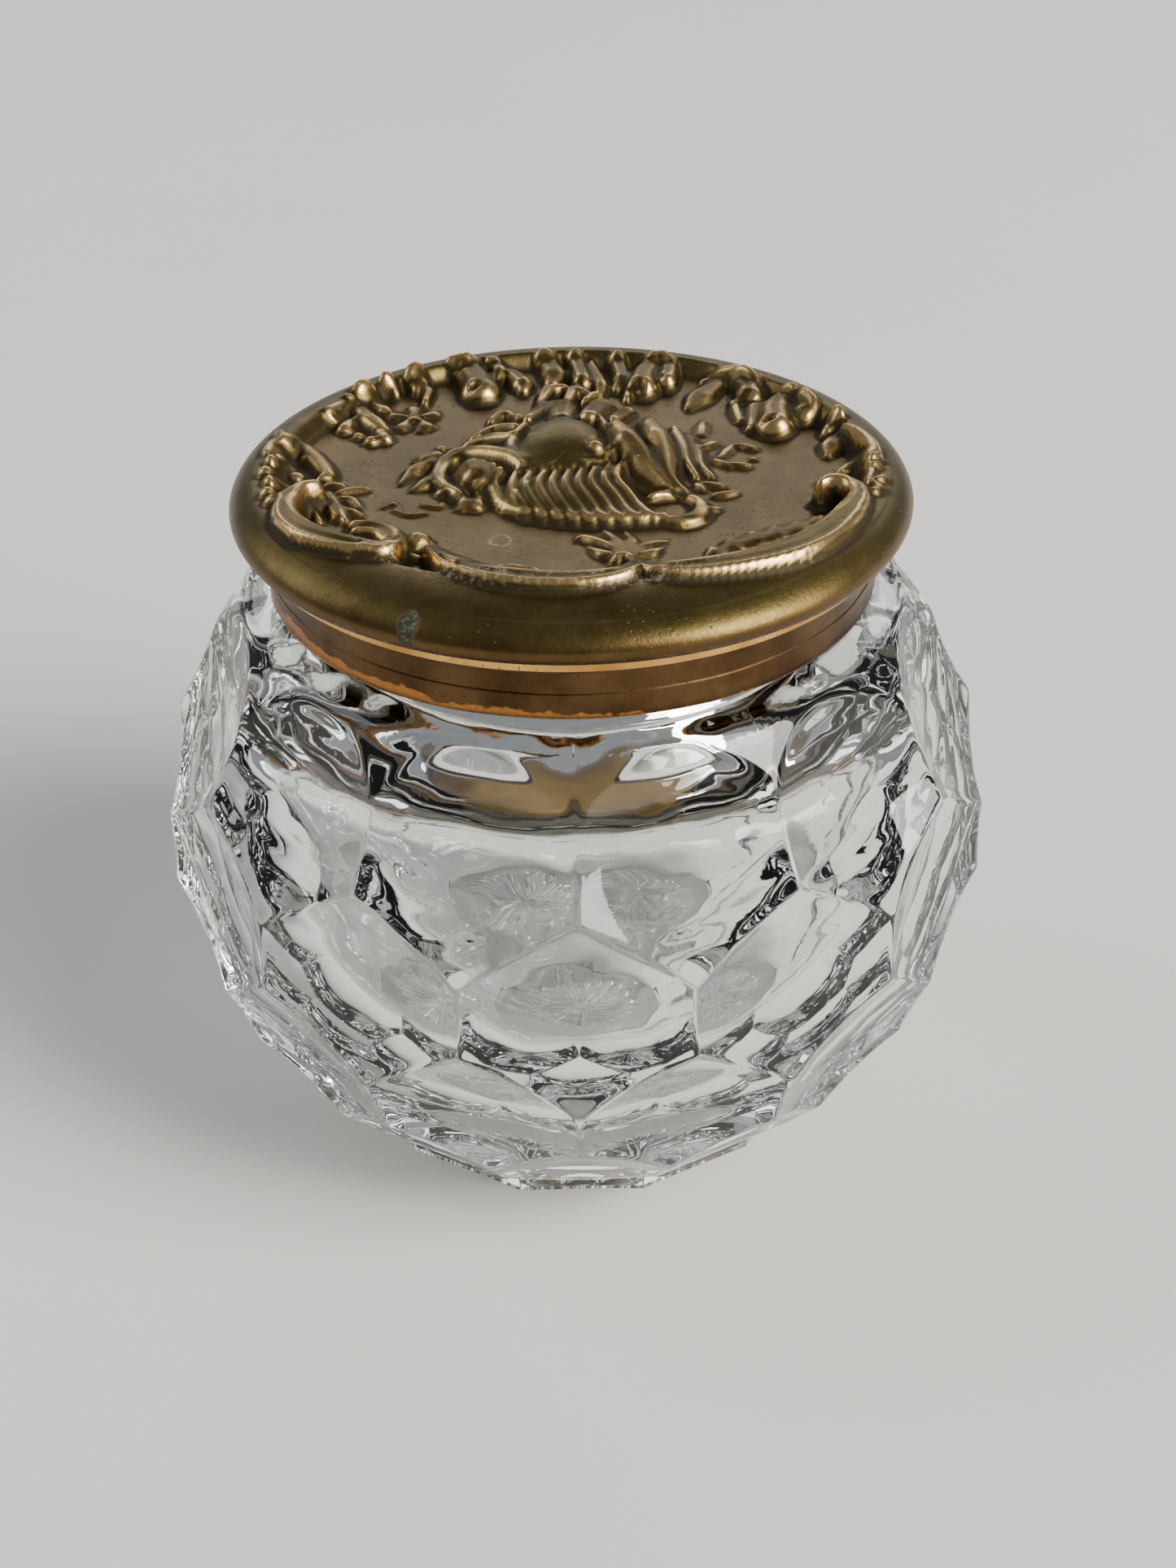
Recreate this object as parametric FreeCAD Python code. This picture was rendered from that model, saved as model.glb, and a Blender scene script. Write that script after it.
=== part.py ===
import FreeCAD, Part
import math
import os

# Inkwell: a faceted glass jar with a brass collar bedded on its neck, and a hinged brass lid.
# Millimetres. +Z up, the jar rests on z = 0, the jar's axis is Z, and the hinge is at +Y.
# Sections are drawn in the XZ plane as (radius, height) and turned about Z.

# --- glass jar ---
belly_radius = 52.2  # widest point of the jar before the facets are cut
belly_height = 41.2
base_radius = 31.7
shoulder_width = 5.8  # from the neck out to where the swelling side ends, above the facets
shoulder_height = 71.8
shoulder_ease = 1.6  # length of the shoulder's first handle
neck_height = 3.8  # straight outside of the neck above the fillet
fillet_rise = 3.6  # the fillet climbs this much from shoulder to neck
fillet_handle = 2.4
mouth_radius = 26.0
neck_wall = 8
lip_round = 1.0
glass_wall = 10.7  # at the belly, before the facets are cut
cavity_height = 44.0  # height of the cavity's widest point
cavity_square = 1.0  # how square the cavity's shoulder is, from 0 straight to 1
throat_depth = 17.7  # straight mouth below the lip
floor_thickness = 10.0
floor_radius = 9.0

# --- facets: rows of shallow round hollows, each row half a step round from the next ---
cells_per_row = 12
facet_radius = 55.0  # radius of the hollow's own sphere
facet_reach = 20.0  # the cutter is trimmed here, outside the jar
facet_clear = 8.0
# (share of the way from the belly up to the shoulder or down to the base, depth, half step)
facet_rows = [
    (0.62, 3.75, 0.5),
    (0.03, 4.2, 0.0),
    (-0.43, 4.5, 0.5),
    (-0.79, 4.2, 0.0),
]

# --- star pressed into the underside ---
star_grooves = 12  # each groove crosses the middle and makes two rays
star_radius = 19.5
star_half_width = 2.6
star_depth = 1.5

# --- collar ---
plaster_thickness = 1.4
collar_wall = 0.7
collar_clear = 0.22  # from the glass shoulder up to the band's inner lower edge
plaster_cap = 0.6  # bedding over the glass lip
seat_lip = 0.4  # the seat stands out this far past the band
seat_thickness = 0.85
sleeve_wall = 0.7
sleeve_clearance = 0.3  # between the sleeve and the glass mouth
sleeve_depth = 5.0
solder_gap = 0.02  # between pieces that are soldered or bedded together

# --- lid ---
parting_gap = 0.15  # between the closed lid and the collar's seat
ring_lip = 1.4  # the lid's ring stands out this far past the seat
ring_width = 3.6
ring_height = 1.2
shell_wall = 0.8
rim_overhang = 2.4  # the lid's widest point past its ring
rim_lift = 2.0  # from the ring up to the widest point
rim_rise = 3.2  # from the widest point up to the crest
rim_foot_inset = 0.1  # the rim's foot inside the ring's edge
flange_width = 1.7  # turned in under the rim, resting on the ring
crest_width = 5.7  # from the widest point in to the crest
bead_inset = 3.6  # raised border, inside the crest
bead_section = 2.2
bead_proud = 0.6  # above the crest
bead_start = 35.0  # degrees round the bead where the slope from the crest meets it
disc_drop = 3.0  # sunk disc below the crest
boss_radius = 17.0
boss_rise = 4.8
liner_wall = 0.6
liner_flange = 1.6  # width of the pan's flange on the ring
liner_drop = 0.9  # underside of the pan below the ring's top
liner_fit = 0.1  # between the pan and the ring's bore
spigot_clearance = 0.6  # between the lid's spigot and the collar's sleeve
spigot_wall = 0.7
spigot_depth = 1.6  # below the ring's underside

# --- hinge ---
hinge_tuck = 1.1  # the knuckles reach this far under the rim
hinge_width = 24.0
knuckle_count = 5
knuckle_radius = 2.0
knuckle_gap = 0.2
knuckle_clearance = 0.3  # between a knuckle and the other side's bearer
pin_radius = 0.85
pin_fit = 0.05
pin_head_radius = 1.35
pin_head = 0.5
bearer_short = 1.1  # bearers end this far before the hinge line
collar_bearer_depth = 1.75
lid_bearer_clearance = 0.05  # under the lid shell

# --- heights and radii that follow ---
neck_radius = mouth_radius + neck_wall
shoulder_radius = neck_radius + shoulder_width
collar_radius = neck_radius + plaster_thickness + collar_wall
seat_radius = collar_radius + seat_lip
ring_radius = seat_radius + ring_lip
ring_bore = ring_radius - ring_width
rim_radius = ring_radius + rim_overhang
rim_foot_radius = ring_radius - rim_foot_inset
flange_bore = rim_foot_radius - flange_width
crest_radius = rim_radius - crest_width
bead_radius = crest_radius - bead_inset
neck_foot = shoulder_height + fillet_rise
lip_height = neck_foot + neck_height
seat_underside = lip_height + plaster_cap
seat_top = seat_underside + seat_thickness
ring_foot = seat_top + parting_gap
ring_top = ring_foot + ring_height
rim_height = ring_top + rim_lift
crest_height = rim_height + rim_rise
disc_height = crest_height - disc_drop
band_bore = collar_radius - collar_wall
sleeve_radius = mouth_radius - sleeve_clearance
spigot_radius = sleeve_radius - sleeve_wall - spigot_clearance
hinge_y = rim_radius + knuckle_radius - hinge_tuck
hinge_z = seat_top + parting_gap / 2


def point(radius, height):
    return FreeCAD.Vector(radius, 0, height)


def line(*corners):
    edges = []
    for start, end in zip(corners, corners[1:]):
        edges.append(Part.LineSegment(start, end).toShape())
    return edges


def bezier(*poles):
    curve = Part.BezierCurve()
    curve.setPoles(list(poles))
    return [curve.toShape()]


def quarter(start, corner, end):
    """A quarter ellipse that leaves start and reaches end along the sides through corner."""
    pull = 0.5523
    return bezier(start, start + (corner - start) * pull, end + (corner - end) * pull, end)


def swell(belly, end):
    """Centre and radius of the arc that is upright at belly and passes through end."""
    run = belly.x - end.x
    rise = end.z - belly.z
    radius = (run ** 2 + rise ** 2) / (2 * run)
    return point(belly.x - radius, belly.z), radius


def swell_arc(belly, end):
    centre, radius = swell(belly, end)
    half = math.asin((end.z - belly.z) / radius) / 2
    middle = centre + point(radius * math.cos(half), radius * math.sin(half))
    return [Part.Arc(belly, middle, end).toShape()]


def turned(edges):
    """The solid of revolution about Z of a closed section."""
    wire = Part.Wire(Part.sortEdges(edges)[0])
    return Part.Face(wire).revolve(FreeCAD.Vector(), FreeCAD.Vector(0, 0, 1), 360)


def ring(inner, outer, bottom, top):
    corners = [point(inner, bottom), point(outer, bottom), point(outer, top), point(inner, top)]
    return turned(line(*corners, corners[0]))


def cylinder_x(radius, start, end):
    """A cylinder on the hinge line from x = start to x = end."""
    place = FreeCAD.Vector(start, hinge_y, hinge_z)
    return Part.makeCylinder(radius, end - start, place, FreeCAD.Vector(1, 0, 0))


# --- glass jar ---
belly = point(belly_radius, belly_height)
shoulder = point(shoulder_radius, shoulder_height)
base_edge = point(base_radius, 0)


def fillet_poles():
    """Poles of the curve from the shoulder up to the foot of the neck."""
    centre, radius = swell(belly, shoulder)
    outward = (shoulder - centre).normalize()
    along = point(-outward.z, outward.x)
    neck = point(neck_radius, neck_foot)
    return [shoulder, shoulder + along * shoulder_ease, neck - point(0, fillet_handle), neck]


def jar_outside():
    neck = point(neck_radius, neck_foot)
    lip_side = point(neck_radius, lip_height - lip_round)
    lip_top = point(neck_radius - lip_round, lip_height)
    edges = line(point(0, 0), base_edge)
    edges += swell_arc(belly, base_edge)
    edges += swell_arc(belly, shoulder)
    edges += bezier(*fillet_poles())
    edges += line(neck, lip_side)
    edges += quarter(lip_side, point(neck_radius, lip_height), lip_top)
    edges += line(lip_top, point(0, lip_height), point(0, 0))
    return turned(edges)


def jar_inside():
    widest = point(belly_radius - glass_wall, cavity_height)
    throat = point(mouth_radius, lip_height - throat_depth)
    floor = point(floor_radius, floor_thickness)
    lip_side = point(mouth_radius, lip_height - lip_round)
    lip_top = point(mouth_radius + lip_round, lip_height)
    edges = line(point(0, floor_thickness), floor)
    edges += quarter(floor, point(widest.x, floor.z), widest)
    side = point(0, throat.z - widest.z) * cavity_square
    ceiling = point(widest.x - throat.x, 0) * cavity_square
    edges += bezier(widest, widest + side, throat + ceiling, throat)
    edges += line(throat, lip_side)
    edges += quarter(lip_side, point(mouth_radius, lip_height), lip_top)
    edges += line(lip_top, point(0, lip_height), point(0, floor_thickness))
    return turned(edges)


def facet_cutter(share, depth):
    """One hollow at +X, square to the side of the jar at its row's height."""
    end = shoulder if share > 0 else base_edge
    centre, radius = swell(belly, end)
    lean = math.asin(abs(share) * (end.z - belly.z) / radius)
    outward = point(math.cos(lean), math.sin(lean))
    edge_height = facet_radius - math.sqrt(facet_radius ** 2 - facet_reach ** 2) - depth
    half_reach = facet_reach / 2
    half_height = facet_radius - math.sqrt(facet_radius ** 2 - half_reach ** 2) - depth
    bottom = point(0, -depth)
    edge = point(facet_reach, edge_height)
    edges = [Part.Arc(bottom, point(half_reach, half_height), edge).toShape()]
    edges += line(edge, point(facet_reach, facet_clear), point(0, facet_clear), bottom)
    cutter = turned(edges)
    cutter.rotate(FreeCAD.Vector(), FreeCAD.Vector(0, 1, 0), 90 - math.degrees(lean))
    cutter.translate(centre + outward * radius)
    return cutter


def star_groove():
    """A V-groove across the underside that tapers to a point at each end."""
    tips = [FreeCAD.Vector(star_radius, 0, 0), FreeCAD.Vector(-star_radius, 0, 0)]
    sides = [FreeCAD.Vector(0, star_half_width, 0), FreeCAD.Vector(0, -star_half_width, 0)]
    ends = [FreeCAD.Vector(0, 0, star_depth), FreeCAD.Vector(0, 0, -star_depth)]
    faces = []
    for tip in tips:
        for side in sides:
            for end in ends:
                faces.append(Part.Face(Part.makePolygon([tip, side, end, tip])))
    return Part.makeSolid(Part.makeShell(faces))


def glass_body():
    jar = jar_outside().cut(jar_inside())
    step = 360 / cells_per_row
    for share, depth, half_step in facet_rows:
        cutter = facet_cutter(share, depth)
        for cell in range(cells_per_row):
            turned_cutter = cutter.copy()
            turned_cutter.rotate(FreeCAD.Vector(), FreeCAD.Vector(0, 0, 1), (cell + half_step) * step)
            jar = jar.cut(turned_cutter)
    for groove in range(star_grooves):
        cutter = star_groove()
        cutter.rotate(FreeCAD.Vector(), FreeCAD.Vector(0, 0, 1), groove * 180 / star_grooves)
        jar = jar.cut(cutter)
    return jar


# --- collar, bedded on the neck ---
def neck_plaster():
    outer = band_bore - solder_gap
    top = seat_underside - solder_gap
    side = ring(neck_radius + solder_gap, outer, neck_foot + solder_gap, top)
    cap = ring(mouth_radius + lip_round, outer, lip_height + solder_gap, top)
    return side.fuse(cap).removeSplitter()


def fillet_height(radius):
    """Height at which the glass fillet reaches a radius."""
    curve = Part.BezierCurve()
    curve.setPoles(fillet_poles())
    low, high = 0.0, 1.0
    for halving in range(30):
        middle = (low + high) / 2
        if curve.value(middle).x > radius:
            low = middle
        else:
            high = middle
    return curve.value(low).z


def collar_band():
    foot = fillet_height(band_bore) + collar_clear
    return ring(band_bore, collar_radius, foot, seat_underside - solder_gap)


def collar_seat_ring():
    inner = sleeve_radius - sleeve_wall
    corners = [
        point(inner, lip_height - sleeve_depth),
        point(sleeve_radius, lip_height - sleeve_depth),
        point(sleeve_radius, seat_underside),
        point(seat_radius, seat_underside),
        point(seat_radius, seat_top),
        point(inner, seat_top),
    ]
    return turned(line(*corners, corners[0]))


# --- lid ---
def shell_line(inset):
    """The lid's face from the rim's foot to the axis, set in by inset."""
    foot = point(rim_foot_radius, ring_top + inset)
    widest = point(rim_radius - inset, rim_height)
    crest = point(crest_radius, crest_height - inset)
    bead_centre = point(bead_radius, crest_height + bead_proud - bead_section)
    bead_round = bead_section - inset
    start_angle = math.radians(bead_start)
    bead_in = bead_centre + point(bead_round * math.cos(start_angle), bead_round * math.sin(start_angle))
    bead_top = bead_centre + point(0, bead_round)
    bead_out = bead_centre - point(bead_round, 0)
    disc_edge = point(bead_out.x, disc_height - inset)
    boss_foot = point(boss_radius, disc_height - inset)
    boss_top = point(0, disc_height - inset + boss_rise)
    boss_round = (boss_radius ** 2 + boss_rise ** 2) / (2 * boss_rise)
    half = math.asin(boss_radius / boss_round) / 2
    boss_side = boss_top + point(boss_round * math.sin(half), boss_round * (math.cos(half) - 1))
    edges = quarter(foot, point(widest.x, foot.z), widest)
    edges += quarter(widest, point(widest.x, crest.z), crest)
    edges += line(crest, bead_in)
    edges += [Part.Arc(bead_in, bead_top, bead_out).toShape()]
    edges += line(bead_out, disc_edge, boss_foot)
    edges += [Part.Arc(boss_foot, boss_side, boss_top).toShape()]
    return edges, foot, boss_top


def lid_shell():
    outside, outer_foot, outer_top = shell_line(0)
    inside, inner_foot, inner_top = shell_line(shell_wall)
    flange = line(outer_foot, point(flange_bore, ring_top), point(flange_bore, inner_foot.z), inner_foot)
    return turned(outside + inside + flange + line(outer_top, inner_top))


def lid_rim_ring():
    return ring(ring_bore, ring_radius, ring_foot, ring_top - solder_gap)


def lid_liner():
    """A shallow pan that hangs through the ring, with a spigot that enters the collar."""
    pan_radius = ring_bore - liner_fit
    pan_under = ring_top - liner_drop
    pan_top = pan_under + liner_wall
    corners = [
        point(0, pan_under),
        point(spigot_radius - spigot_wall, pan_under),
        point(spigot_radius - spigot_wall, ring_foot - spigot_depth),
        point(spigot_radius, ring_foot - spigot_depth),
        point(spigot_radius, pan_under),
        point(pan_radius, pan_under),
        point(pan_radius, ring_top),
        point(pan_radius + liner_flange, ring_top),
        point(pan_radius + liner_flange, ring_top + liner_wall),
        point(pan_radius - liner_wall, ring_top + liner_wall),
        point(pan_radius - liner_wall, pan_top),
        point(0, pan_top),
    ]
    return turned(line(*corners, corners[0]))


# --- hinge ---
knuckle_length = (hinge_width - knuckle_gap * (knuckle_count - 1)) / knuckle_count


def knuckle_span(index):
    start = -hinge_width / 2 + index * (knuckle_length + knuckle_gap)
    return start, start + knuckle_length


def knuckle(index):
    start, end = knuckle_span(index)
    return cylinder_x(knuckle_radius, start, end).cut(cylinder_x(pin_radius + pin_fit, start - 1, end + 1))


def bearer(bottom, top, own):
    """A block that carries the knuckles of one side; own are the indexes of its knuckles."""
    front = neck_radius
    back = hinge_y - bearer_short
    corner = FreeCAD.Vector(-hinge_width / 2, front, bottom)
    block = Part.makeBox(hinge_width, back - front, top - bottom, corner)
    block = block.cut(cylinder_x(knuckle_radius + solder_gap, -hinge_width, hinge_width))
    for index in range(knuckle_count):
        if index not in own:
            start, end = knuckle_span(index)
            relief = cylinder_x(knuckle_radius + knuckle_clearance, start - knuckle_gap, end + knuckle_gap)
            block = block.cut(relief)
    return block


collar_knuckles = {0: "left", 2: "middle", 4: "right"}
lid_knuckles = {1: "left", 3: "right"}


def hinge_bearer_collar():
    bottom = seat_top - collar_bearer_depth
    block = bearer(bottom, seat_top, collar_knuckles)
    block = block.cut(Part.makeCylinder(collar_radius + solder_gap, seat_top))
    seat = Part.makeCylinder(seat_radius + solder_gap, seat_top, FreeCAD.Vector(0, 0, seat_underside - solder_gap))
    return block.cut(seat)


def hinge_bearer_lid():
    block = bearer(ring_foot, ring_top - lid_bearer_clearance, lid_knuckles)
    return block.cut(Part.makeCylinder(ring_radius + solder_gap, ring_top * 2))


def hinge_pin():
    half = hinge_width / 2
    pin = cylinder_x(pin_radius, -half - pin_head, half + pin_head)
    heads = [
        cylinder_x(pin_head_radius, -half - pin_head, -half - solder_gap),
        cylinder_x(pin_head_radius, half + solder_gap, half + pin_head),
    ]
    return pin.fuse(heads).removeSplitter()


parts = {
    "glass_body": glass_body(),
    "neck_plaster": neck_plaster(),
    "collar_band": collar_band(),
    "collar_seat_ring": collar_seat_ring(),
    "hinge_bearer_collar": hinge_bearer_collar(),
    "lid_shell": lid_shell(),
    "lid_rim_ring": lid_rim_ring(),
    "lid_liner": lid_liner(),
    "hinge_bearer_lid": hinge_bearer_lid(),
    "hinge_pin": hinge_pin(),
}
for index, side in collar_knuckles.items():
    parts["hinge_knuckle_collar_" + side] = knuckle(index)
for index, side in lid_knuckles.items():
    parts["hinge_knuckle_lid_" + side] = knuckle(index)

os.makedirs("parts", exist_ok=True)
for name, shape in parts.items():
    shape.exportStep("parts/" + name + ".step")
    box = shape.BoundBox
    print(name, "valid", shape.isValid(), "solids", len(shape.Solids), "cc", round(shape.Volume / 1000, 2),
          "z", round(box.ZMin, 2), round(box.ZMax, 2), "y", round(box.YMin, 2), round(box.YMax, 2))
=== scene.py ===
import math
import random

import bpy
import numpy as np
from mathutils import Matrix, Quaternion, Vector


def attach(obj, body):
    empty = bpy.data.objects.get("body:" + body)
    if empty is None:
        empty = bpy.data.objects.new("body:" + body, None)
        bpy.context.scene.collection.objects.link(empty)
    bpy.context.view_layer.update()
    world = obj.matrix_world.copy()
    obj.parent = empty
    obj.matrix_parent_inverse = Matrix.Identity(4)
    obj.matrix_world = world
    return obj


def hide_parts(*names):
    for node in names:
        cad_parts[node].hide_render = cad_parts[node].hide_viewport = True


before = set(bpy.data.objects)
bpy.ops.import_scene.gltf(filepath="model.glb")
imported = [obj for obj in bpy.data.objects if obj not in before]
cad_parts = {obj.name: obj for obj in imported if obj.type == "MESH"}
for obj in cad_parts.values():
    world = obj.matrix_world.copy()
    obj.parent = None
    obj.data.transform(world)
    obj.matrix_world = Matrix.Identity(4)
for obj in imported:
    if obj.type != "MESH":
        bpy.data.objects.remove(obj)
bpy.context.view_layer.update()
mm = 0.001
print("frame loaded:", len(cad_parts), "nodes")


# ---------- shader sockets as values ----------
class Value:
    def __init__(self, paint, socket):
        self.paint = paint
        self.socket = socket

    def math(self, operation, a, b):
        return self.paint.node("ShaderNodeMath", {"operation": operation}, {0: a, 1: b})

    def __add__(self, other):
        return self.math("ADD", self, other)

    def __radd__(self, other):
        return self.math("ADD", other, self)

    def __sub__(self, other):
        return self.math("SUBTRACT", self, other)

    def __rsub__(self, other):
        return self.math("SUBTRACT", other, self)

    def __mul__(self, other):
        return self.math("MULTIPLY", self, other)

    def __rmul__(self, other):
        return self.math("MULTIPLY", other, self)

    def clamped(self):
        return self.math("MINIMUM", self.math("MAXIMUM", self, 0.0), 1.0)

    def between(self, low, high):  # 0 below low, 1 above high, smooth in between
        return self.paint.node("ShaderNodeMapRange", {"interpolation_type": "SMOOTHSTEP"},
                               {"Value": self, "From Min": low, "From Max": high})


# ---------- one material's nodes ----------
class Paint:
    def __init__(self, name):
        self.material = bpy.data.materials.new(name)
        self.material.use_nodes = True
        self.tree = self.material.node_tree
        self.tree.nodes.clear()

    def node(self, kind, settings, inputs, output=0):
        made = self.tree.nodes.new(kind)
        for key, value in settings.items():
            setattr(made, key, value)
        for key, value in inputs.items():
            socket = made.inputs[key]
            if isinstance(value, Value):
                self.tree.links.new(value.socket, socket)
            else:
                socket.default_value = value
        return Value(self, made.outputs[output])

    def place(self):  # object coordinates, in metres
        return self.node("ShaderNodeTexCoord", {}, {}, "Object")

    def parts(self, vector):  # x, y and z as values
        kind, inputs = "ShaderNodeSeparateXYZ", {0: vector}
        return [self.node(kind, {}, inputs, n) for n in range(3)]

    def length(self, vector):
        return self.node("ShaderNodeVectorMath", {"operation": "LENGTH"}, {0: vector}, "Value")

    def reach(self, vector, centre, scale):  # distance from a centre, squeezed by scale
        away = self.node("ShaderNodeVectorMath", {"operation": "SUBTRACT"}, {0: vector, 1: centre})
        return self.length(self.stretched(away, scale))

    def stretched(self, vector, scale):
        return self.node("ShaderNodeVectorMath", {"operation": "MULTIPLY"}, {0: vector, 1: scale})

    def noise(self, vector, size, detail=4.0, rough=0.55):
        return self.node("ShaderNodeTexNoise", {}, {"Vector": vector, "Scale": 1.0 / size, "Detail": detail,
                                                    "Roughness": rough})

    def spots(self, vector, size):
        return self.node("ShaderNodeTexVoronoi", {}, {"Vector": vector, "Scale": 1.0 / size})

    def attribute(self, name):
        return self.node("ShaderNodeAttribute", {"attribute_name": name}, {}, "Fac")

    def mix(self, amount, a, b):  # from colour a to colour b
        first, second = [(*c, 1.0) if isinstance(c, tuple) else c for c in (a, b)]
        return self.node("ShaderNodeMix", {"data_type": "RGBA"}, {0: amount, 6: first, 7: second}, 2)

    def bump(self, height, distance, strength=1.0):
        inputs = {"Height": height, "Distance": distance, "Strength": strength}
        return self.node("ShaderNodeBump", {}, inputs)

    def finish(self, inputs):
        shader = self.node("ShaderNodeBsdfPrincipled", {}, inputs)
        out = self.tree.nodes.new("ShaderNodeOutputMaterial")
        self.tree.links.new(shader.socket, out.inputs["Surface"])
        return self.material


# ---------- meshes ----------
def makeMesh(name, points, faces, material):  # points in millimetres
    mesh = bpy.data.meshes.new(name)
    mesh.from_pydata([tuple(p) for p in np.asarray(points) * mm], [], faces)
    mesh.materials.append(material)
    mesh.polygons.foreach_set("use_smooth", [True] * len(mesh.polygons))
    mesh.update()
    piece = bpy.data.objects.new(name, mesh)
    bpy.context.scene.collection.objects.link(piece)
    return piece


def ringFaces(rows, columns):  # quads between rings of equal count, closed round
    faces = []
    for row in range(rows - 1):
        low = row * columns
        for column in range(columns):
            after = (column + 1) % columns
            faces.append((low + column, low + after, low + columns + after, low + columns + column))
    return faces


def bezierPoints(poles, count):
    t = np.linspace(0, 1, count)[:, None]
    p = np.array(poles, float)
    return (1 - t) ** 3 * p[0] + 3 * (1 - t) ** 2 * t * p[1] + 3 * (1 - t) * t ** 2 * p[2] + t ** 3 * p[3]


def quarterPoints(start, corner, end, count):
    start, corner, end = (np.array(p, float) for p in (start, corner, end))
    pull = 0.5523  # makes the curve a quarter circle
    return bezierPoints([start, start + (corner - start) * pull, end + (corner - end) * pull, end], count)


def eased(count, pull):  # 0 to 1 with the steps drawn in towards both ends
    t = np.linspace(0, 1, count)
    return t - pull * np.sin(2 * np.pi * t) / (2 * np.pi)


# ---------- glass jar ----------
jar = {
    "cellsPerRow": 12,
    "bellyRadius": 52.2, "bellyHeight": 41.2, "baseRadius": 31.7,
    "shoulderRadius": 39.8, "shoulderHeight": 71.8, "shoulderEase": 1.6,
    "neckRadius": 34.0, "neckFoot": 75.4, "filletHandle": 2.4, "lipHeight": 79.2, "lipRound": 1.0,
    "mouthRadius": 26.0, "throatHeight": 61.5, "cavityRadius": 41.5, "cavityHeight": 44.0,
    "cavitySquare": 1.0,  # how square the cavity's shoulder is, from 0 straight to 1
    "floorHeight": 10.0, "floorRadius": 9.0,
    "facetRadius": 55.0, "facetRows": [(0.62, 3.75, 1), (0.03, 4.2, 0), (-0.43, 4.5, 1), (-0.79, 4.2, 0)],
    "ridgeSoftness": 0.45,  # how far the fire polish rounds each ridge
    "columnsPerWedge": 14, "rowsPerFacet": 18, "gathering": 0.78,  # columns and rows crowd to the ridges
    "starRays": 24, "starInner": 2.2, "starOuter": 18.5, "starEnd": 3.0, "starDepth": 1.4,
    "wave": 0.05, "waveLength": 9.0, "innerWave": 7.0, "innerRipple": 0.1, "seed": 11,
    "scaleLength": 4.0, "scaleRipple": 0.022,  # small scales all over the cavity
    "flow": 0.09, "flowStart": 64.0, "flowGrow": 3.0, "flowEnd": 75.0,  # mould lines round the shoulder
}


def swell(belly, end):  # centre (radius, height) and radius of the arc upright at belly
    run, rise = belly[0] - end[0], end[1] - belly[1]
    radius = (run ** 2 + rise ** 2) / (2 * run)
    return belly[0] - radius, belly[1], radius


def facetCentres():  # (radius, height) of each row's cutting sphere, and its half step
    found = []
    for share, depth, odd in jar["facetRows"]:
        belly = (jar["bellyRadius"], jar["bellyHeight"])
        end = (jar["shoulderRadius"], jar["shoulderHeight"]) if share > 0 else (jar["baseRadius"], 0.0)
        r0, z0, radius = swell(belly, end)
        lean = math.asin(share * abs(end[1] - belly[1]) / radius)
        reach = radius - depth + jar["facetRadius"]
        found.append((r0 + reach * math.cos(lean), z0 + reach * math.sin(lean), odd))
    return found


def crossing(a, b, high=False):  # where two circles (r, z, radius) meet, nearer the axis or higher
    dr, dz = b[0] - a[0], b[1] - a[1]
    gap = np.hypot(dr, dz)
    along = (gap ** 2 + a[2] ** 2 - b[2] ** 2) / (2 * gap)
    side = np.sqrt(np.maximum(a[2] ** 2 - along ** 2, 0))
    r1, z1 = a[0] + (along * dr - side * dz) / gap, a[1] + (along * dz + side * dr) / gap
    r2, z2 = a[0] + (along * dr + side * dz) / gap, a[1] + (along * dz - side * dr) / gap
    first = z1 > z2 if high else r1 < r2
    return np.where(first, r1, r2), np.where(first, z1, z2)


def waves(points, length, seed):  # smooth wandering field from a few crossed sines
    dice = random.Random(seed)
    total = np.zeros(points.shape[:-1])
    for _ in range(9):
        direction = np.array([dice.gauss(0, 1) for _ in range(3)])
        direction *= 2 * math.pi / (length * dice.uniform(0.6, 1.8) * np.linalg.norm(direction))
        total += np.sin(points @ direction + dice.uniform(0, 6.28)) / 3
    return total


def softMax(a, b, soft):
    near = np.maximum(soft - np.abs(a - b), 0) / soft
    return np.maximum(a, b) + near ** 2 * soft / 4


def jarColumns():
    wedge = np.radians(360 / jar["cellsPerRow"] / 2)
    steps = eased(jar["columnsPerWedge"] + 1, jar["gathering"])[:-1] * wedge
    return np.concatenate([steps + wedge * n for n in range(2 * jar["cellsPerRow"])])


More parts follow.
